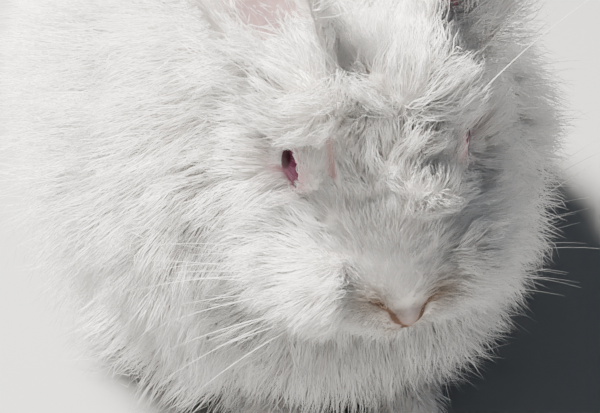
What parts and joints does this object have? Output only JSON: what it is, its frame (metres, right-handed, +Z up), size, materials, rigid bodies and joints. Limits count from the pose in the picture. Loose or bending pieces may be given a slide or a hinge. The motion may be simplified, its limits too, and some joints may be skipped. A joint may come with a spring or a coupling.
{
  "type": "angora rabbit model",
  "caption": "Life-size white angora rabbit crouched with its head low, long woolly coat in overlapping locks, upright furnished ears.",
  "frame": {"origin": "on the ground plane, under the middle of the animal's box", "axes": "+Z up; the rabbit faces -Y and its left side is +X"},
  "size_m": [0.2648, 0.374, 0.2598],
  "materials": {
    "wool": "soft white wool",
    "ear": "pink skin under thin white fur",
    "eye": "glossy ruby eye"
  },
  "bodies": {
    "root": {"head": "wool", "eye_left": "eye", "eye_right": "eye", "ear_left": "ear", "ear_right": "ear", "neck": "wool", "torso": "wool", "tail": "wool", "foreleg_left": "wool", "foreleg_right": "wool", "hindleg_left": "wool", "hindleg_right": "wool"}
  },
  "joints": []
}
